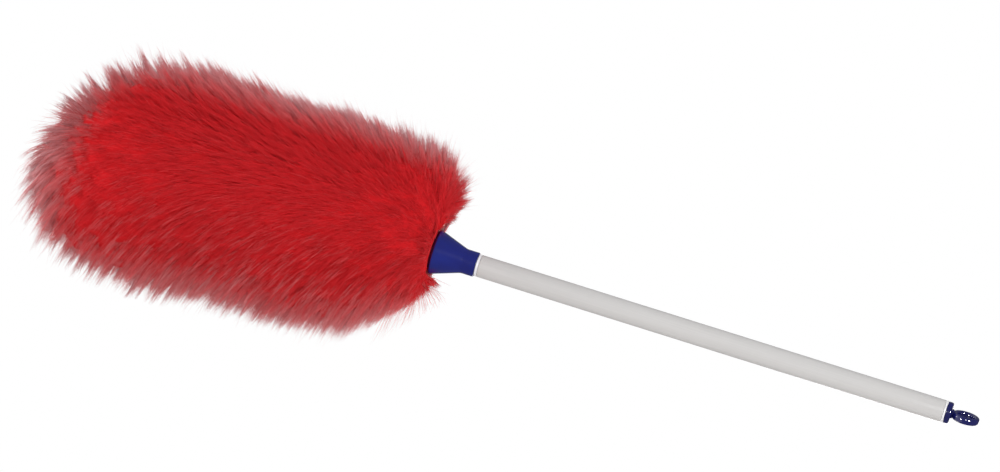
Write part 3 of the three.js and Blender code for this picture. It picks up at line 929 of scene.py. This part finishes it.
def fouling(centre, over=0.0):
    """Which fibres would cut through the cone or stand across its lip."""
    share = np.linspace(0, 1, 5)[:, None, None, None]
    between = centre[None, :, :-1] * (1 - share) + centre[None, :, 1:] * share
    radius = np.hypot(between[..., 0], between[..., 1])
    height = between[..., 2]
    neck = collar_top - COLLAR_LENGTH
    slant = np.clip((neck - height) / (neck - mouth_level), 0, 1)
    cone = COLLAR_RADIUS + (mouth_radius - COLLAR_RADIUS) * slant + CONE_CLEARANCE
    inside = (radius < cone) & (height > mouth_level - LIP)
    high = height > ceiling(between) + CEILING_SLACK + over
    return (inside | high).any(axis=(0, 2))


def within_reach(points):
    """Draws in the part of any fibre that strays far from the pile."""
    low = np.array(pile_low) - WOOL_PROUD
    high = np.array(pile_high) + WOOL_PROUD
    over = np.maximum(points - high, 0) - np.maximum(low - points, 0)
    return points - 0.75 * over


def scattered(count):
    """About count places on the pile, evenly spread by area, as angles and evens."""
    rings, sectors = 150, 90
    edge = (1 - np.cos(np.linspace(0, math.pi, rings + 1))) / 2
    turn = np.linspace(0, 2 * math.pi, sectors + 1)
    corner = pile_point(turn[None, :], np.clip(edge, 1e-5, 1 - 1e-5)[:, None])
    diagonal = corner[1:, 1:] - corner[:-1, :-1]
    other = corner[1:, :-1] - corner[:-1, 1:]
    area = np.linalg.norm(np.cross(diagonal, other), axis=-1) / 2
    area[1::2] = area[1::2, ::-1]  # every other ring runs backwards, so that neighbours stay together
    reach = np.cumsum(area.ravel()) / area.sum()
    pick = np.searchsorted(reach, (np.arange(count) + random.random(count)) / count)
    ring, sector = np.divmod(np.minimum(pick, area.size - 1), sectors)
    sector = np.where(ring % 2 == 1, sectors - 1 - sector, sector)
    angle = (sector + random.random(count)) / sectors * 2 * math.pi
    even = (1 - np.cos((ring + random.random(count)) / rings * math.pi)) / 2
    even = np.clip(even, 0.0005, 0.9995)
    point = pile_point(angle, even)
    clear = (np.hypot(point[:, 0], point[:, 1]) > mouth_radius) | (point[:, 2] < mouth_level - 2 * LIP)
    return angle[clear], even[clear]


# ---------------------------------------------------------------- wool: undercoat, locks and strays

def make_undercoat():
    """The dense inner wool as one closed body round the core, its surface lumpy with clumps."""
    rows, sectors = 130, 160
    even = (1 - np.cos(np.linspace(0.03, 0.98, rows) * math.pi))[:, None] / 2
    turn = np.arange(sectors)[None, :] / sectors * 2 * math.pi
    skin = pile_point(turn, even)
    sunk = UNDERCOAT_SUNK_FACING + UNDERCOAT_SUNK_BESIDE * np.cos(turn) ** 2
    extra = (fullness(turn, skin) - sunk) * np.sin(math.pi * even) ** 0.4
    lumps = LUMP_HEIGHT * (np.sin(9 * turn + 40 * even) + np.sin(14 * turn - 60 * even))
    skin[..., 0] += (extra + lumps) * np.cos(turn)
    skin[..., 1] += (extra + lumps) * np.sin(turn)
    skin[..., 2] += UNDERCOAT_TIP_SHORT * even**3
    turn = turn[0]
    top = mouth_level - LIP - 1.5 * MM
    bottom = wool_tip + UNDERCOAT_BOTTOM
    radius = np.hypot(skin[..., 0], skin[..., 1])
    dip = UNDERCOAT_DIP * np.clip(1.8 - radius / UNDERCOAT_DIP_RADIUS, 0, 1)
    skin[..., 2] = np.clip(skin[..., 2], bottom, top - dip)
    skin[..., :2] *= np.maximum(1, (PILE_BORE + 4 * MM) / radius)[..., None]
    bore = np.stack([PILE_BORE * np.cos(turn), PILE_BORE * np.sin(turn)], axis=-1)
    lower = np.concatenate([bore, np.full((sectors, 1), bottom)], axis=1)
    upper = np.concatenate([bore, np.full((sectors, 1), top - UNDERCOAT_DIP)], axis=1)
    mesh = grid_mesh("wool_undercoat", np.concatenate([skin, lower[None], upper[None]]))
    add_piece("wool_undercoat", mesh, "head", "wool", "wool_pile", "wool_undercoat")


def nearest(points, centres):
    """Index of and distance to the nearest centre, for each point."""
    tree = kdtree.KDTree(len(centres))
    for i, centre in enumerate(centres):
        tree.insert(centre, i)
    tree.balance()
    found = [tree.find(p)[1:] for p in points]
    return np.array([f[0] for f in found]), np.array([f[1] for f in found])


def guide_curves(angle, even, tip, normal):
    """Cubic curves from the hide to each tip: the four control points, shape (4, n, 3).

    Fibres leave the hide outwards and down, and droop towards their tips. Beside the cone's mouth
    they start further out and lower, and leave upwards, so that they come round the lip.
    """
    hide_length = hide_high.z - hide_low.z
    front = normal[:, 1:2] ** 2
    root_height = hide_high.z - hide_length * even**1.9
    out = np.stack([np.cos(angle), np.sin(angle), np.zeros_like(angle)], axis=-1)
    near_base = np.clip(1 - even / NEAR_BASE, 0, 1)[:, None]
    beside = np.clip(2.2 * near_base * np.cos(angle)[:, None] ** 2, 0, 1)
    root = out * (ROOT_RADIUS + BESIDE_ROOT_SHIFT * beside)
    root[:, 2] = root_height + beside[:, 0] * (mouth_level - LIP - BESIDE_ROOT_DROP - root_height)
    chord = tip - root
    length = np.linalg.norm(chord, axis=1, keepdims=True)
    down = np.array((0, 0, -1.0))
    leave = unit(out * (0.6 + 0.3 * near_base) + down * (0.8 - 0.45 * near_base))
    leave = unit((1 - beside) * leave + beside * (0.35 * out - 0.93 * down))
    droop = 0.3 + 0.6 * (np.clip(np.cos(angle), 0, 1) * np.clip(even / 0.25, 0, 1))[:, None]
    arrive = unit(chord / length + droop * DROOP + 0.15 * front * normal)
    lead = CURVE_LEAD * length
    return np.stack([root, root + lead * leave, tip - lead * arrive, tip]), length[:, 0]


def on_curves(control, t):
    """Points at shares t, shape (n, k), along n cubic curves."""
    t = t[..., None]
    a, b, c, d = (control[i][:, None, :] for i in range(4))
    return (1 - t) ** 3 * a + 3 * (1 - t) ** 2 * t * b + 3 * (1 - t) * t**2 * c + t**3 * d


def fibre_faces():
    """Corner indices of one fibre's faces, and where each face starts in them."""
    faces = []
    for ring in range(RINGS - 1):
        for side in range(SIDES):
            a = ring * SIDES + side
            b = ring * SIDES + (side + 1) % SIDES
            faces.append((a, b, b + SIDES, a + SIDES))
    last = (RINGS - 1) * SIDES
    faces += [(last + side, last + (side + 1) % SIDES, POINTS - 1) for side in range(SIDES)]
    faces.append((2, 1, 0))
    corners = np.concatenate([np.array(face) for face in faces])
    starts = np.cumsum([0] + [len(face) for face in faces])
    return corners, starts[:-1]


def fibre_mesh(name, centre, outward, width, paleness):
    """Closed tapering fibres. centre is (n, RINGS + 1, 3), outward (n, 3), width (n, RINGS)."""
    count = len(centre)
    tangent = unit(np.diff(centre, axis=1))
    across = unit(np.cross(outward[:, None, :], tangent))
    lift = np.cross(tangent, across)
    half = width[..., None] / 2
    tilt = 1.8 - 1.5 * outward[:, 1] ** 2  # fibres are shaded rounder on the sides than in front
    verts = np.empty((count, POINTS, 3))
    normals = np.empty_like(verts)
    for side, (a, b) in enumerate(FIBRE_SECTION):
        rows = slice(side, SIDES * RINGS, SIDES)
        verts[:, rows] = centre[:, :RINGS] + half * (a * across + b * lift)
        normals[:, rows] = outward[:, None, :] + tilt[:, None, None] * (a * across + b * lift)
    verts[:, -1] = centre[:, -1]
    normals[:, -1] = outward
    corners, starts = fibre_faces()
    loops = (np.arange(count)[:, None] * POINTS + corners).ravel()
    loop_start = (np.arange(count)[:, None] * len(corners) + starts).ravel()
    mesh = bpy.data.meshes.new(name)
    mesh.vertices.add(count * POINTS)
    mesh.vertices.foreach_set("co", verts.astype(np.float32).ravel())
    mesh.loops.add(len(loops))
    mesh.loops.foreach_set("vertex_index", loops.astype(np.int32))
    mesh.polygons.add(len(loop_start))
    mesh.polygons.foreach_set("loop_start", loop_start.astype(np.int32))
    mesh.update(calc_edges=True)
    u_step = 0.004  # keeps the fibre's sides apart on the map
    uv = np.empty((count, POINTS, 2))
    side = np.append(np.tile(np.arange(SIDES) - 1, RINGS), 0)
    uv[..., 0] = paleness[:, None] + u_step * side
    uv[..., 1] = np.append(np.repeat(np.arange(RINGS), SIDES), RINGS) / RINGS
    layer = mesh.uv_layers.new(name="OFBake")
    layer.uv.foreach_set("vector", uv.reshape(-1, 2)[loops].astype(np.float32).ravel())
    mesh.shade_smooth()
    mesh.normals_split_custom_set_from_vertices(unit(normals).reshape(-1, 3))
    return mesh


def gathered_tips(angle, even, normal):
    """Where locks end: drawn together into tufts, raggedly on the worn sides and at the tip end."""
    tuft_angle, tuft_even = scattered(TUFTS)
    tuft_tip = pile_point(tuft_angle, tuft_even)
    tip = pile_point(angle, even)
    smooth = normal[:, 1] ** 2
    tuft, apart = nearest(tip, tuft_tip)
    at_end = np.clip((even - 0.6) / 0.35, 0, 1)
    ragged = (1 + 1.3 * at_end) * (1 - 0.8 * smooth)
    rise = random.normal(0, TUFT_UNEVENNESS, len(tuft_tip))[tuft] * ragged
    rise += (5 * MM - 1.9 * apart) * at_end - 0.7 * apart * (1 - 0.6 * smooth)
    rise += fullness(angle, tip)
    pull = 0.38 * ragged + 0.08
    tip = tip + pull[:, None] * (tuft_tip[tuft] - tip) + rise[:, None] * normal
    tip += random.normal(0, LOCK_UNEVENNESS, tip.shape)
    return under_ceiling(tip)


def make_locks(lock_count, fibres_each):
    """Fibres of locks: their centre lines, outward directions, widths, fades and angles."""
    angle, even = scattered(lock_count)
    normal = pile_normal(angle, even)
    control, length = guide_curves(angle, even, gathered_tips(angle, even, normal), normal)

    lock_count = len(angle)
    fibre_count = lock_count * fibres_each
    lock = np.repeat(np.arange(lock_count), fibres_each)
    length = length[lock]
    shown = LOCK_SHOWN + LOCK_SHOWN_COMBED * np.clip(np.cos(angle[lock]), 0, 1)
    start = 1 - np.minimum(0.7, shown / length)
    end = 1 - random.random(fibre_count) ** 2 * FIBRE_SHORT / length
    steps = np.linspace(0, 1, RINGS + 1)
    centre = on_curves(control[:, lock], start[:, None] + (end - start)[:, None] * steps)
    root_spread = random.normal(0, ROOT_SPREAD, (fibre_count, 1, 3))
    tip_spread = random.normal(0, TIP_SPREAD, (fibre_count, 1, 3))
    loose = random.random((fibre_count, 1, 1)) < LOOSE_SHARE
    tip_spread = np.where(loose, LOOSE_SPREAD * tip_spread, tip_spread)
    gather = steps[None, :, None] ** 1.3
    centre += (1 - gather) * root_spread + gather * tip_spread
    centre += random.normal(0, FIBRE_WAVE, centre.shape) * steps[None, :, None]
    centre = within_reach(under_ceiling(centre))
    width = FIBRE_WIDTH * (0.7 + 0.5 * random.random((fibre_count, 1)))
    # Pale tips: painted sheen at the sides and painted light through the tips at the tip end.
    pale = painted_edge_sheen(angle, even, normal) * (0.65 + 0.5 * random.random(lock_count))
    # Some locks on the combed side get paler tips as painted highlight streaks.
    streaked = (random.random(lock_count) < STREAKED_SHARE) * np.clip(even / 0.2, 0, 1)
    pale += STREAK_HIGHLIGHT_PALING * streaked * np.clip(np.cos(angle) + 0.15, 0, 1) * (1 - pale)
    paleness = 0.84 * np.clip(pale, 0, 1)[lock] + 0.16 * random.random(fibre_count)
    outward = unit(normal[lock] + random.normal(0, 0.05, (lock_count, 3))[lock])
    good = ~fouling(centre)
    return centre[good], outward[good], width[good], paleness[good], angle[lock][good]


def make_strays(count, base_count):
    """Single long hairs that stand out of the pile, the longest at the combed side's base."""
    angle, even = scattered(count)
    reach = np.minimum(random.exponential(STRAY_REACH, len(angle)), STRAY_MOST)
    reach *= 1 + np.clip((even - 0.7) / 0.3, 0, 1)
    angle = np.append(angle, random.normal(0, 0.4, base_count))
    even = np.append(even, 0.02 + 0.12 * random.random(base_count))
    reach = np.append(reach, (3 + 15 * random.random(base_count)) * MM)
    count = len(angle)
    over = np.where(np.arange(count) < count - base_count, 0, BASE_HAIR_OVER)
    normal = pile_normal(angle, even)
    tip = pile_point(angle, even)
    tip += (fullness(angle, tip) + reach)[:, None] * normal
    control, length = guide_curves(angle, even, under_ceiling(tip, over), normal)
    start = 1 - np.minimum(0.6, STRAY_SHOWN / length)
    steps = np.linspace(0, 1, RINGS + 1)
    centre = on_curves(control, start[:, None] + (1 - start)[:, None] * steps)
    bend = random.normal(0, STRAY_BEND, (count, 1, 3))
    centre += bend * steps[None, :, None] ** 3
    centre = within_reach(under_ceiling(centre, over[:, None]))
    width = STRAY_WIDTH * np.ones((count, 1))
    # The strays' pale tips are the same painted sheen and painted light through the tips.
    paleness = 0.82 * painted_edge_sheen(angle, even, normal) + 0.16 * random.random(count)
    good = ~fouling(centre, over[:, None])
    return centre[good], normal[good], width[good], paleness[good]


def make_wool():
    make_undercoat()
    lock_count, fibres_each = ((LOCKS, FIBRES_EACH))
    centre, outward, width, paleness, angle = make_locks(lock_count, fibres_each)
    order = np.argsort(angle, kind="stable")
    pieces = math.ceil(len(order) / FIBRES_IN_PIECE)
    for i, part in enumerate(np.array_split(order, pieces)):
        name = f"wool_locks_{i + 1:02d}"
        mesh = fibre_mesh(name, centre[part], outward[part], width[part], paleness[part])
        add_piece(name, mesh, "head", "wool", "wool_pile")
    mesh = fibre_mesh("wool_strays", *make_strays(STRAYS, BASE_HAIRS))
    add_piece("wool_strays", mesh, "head", "wool", "wool_pile", "stray_wool")


make_wool()
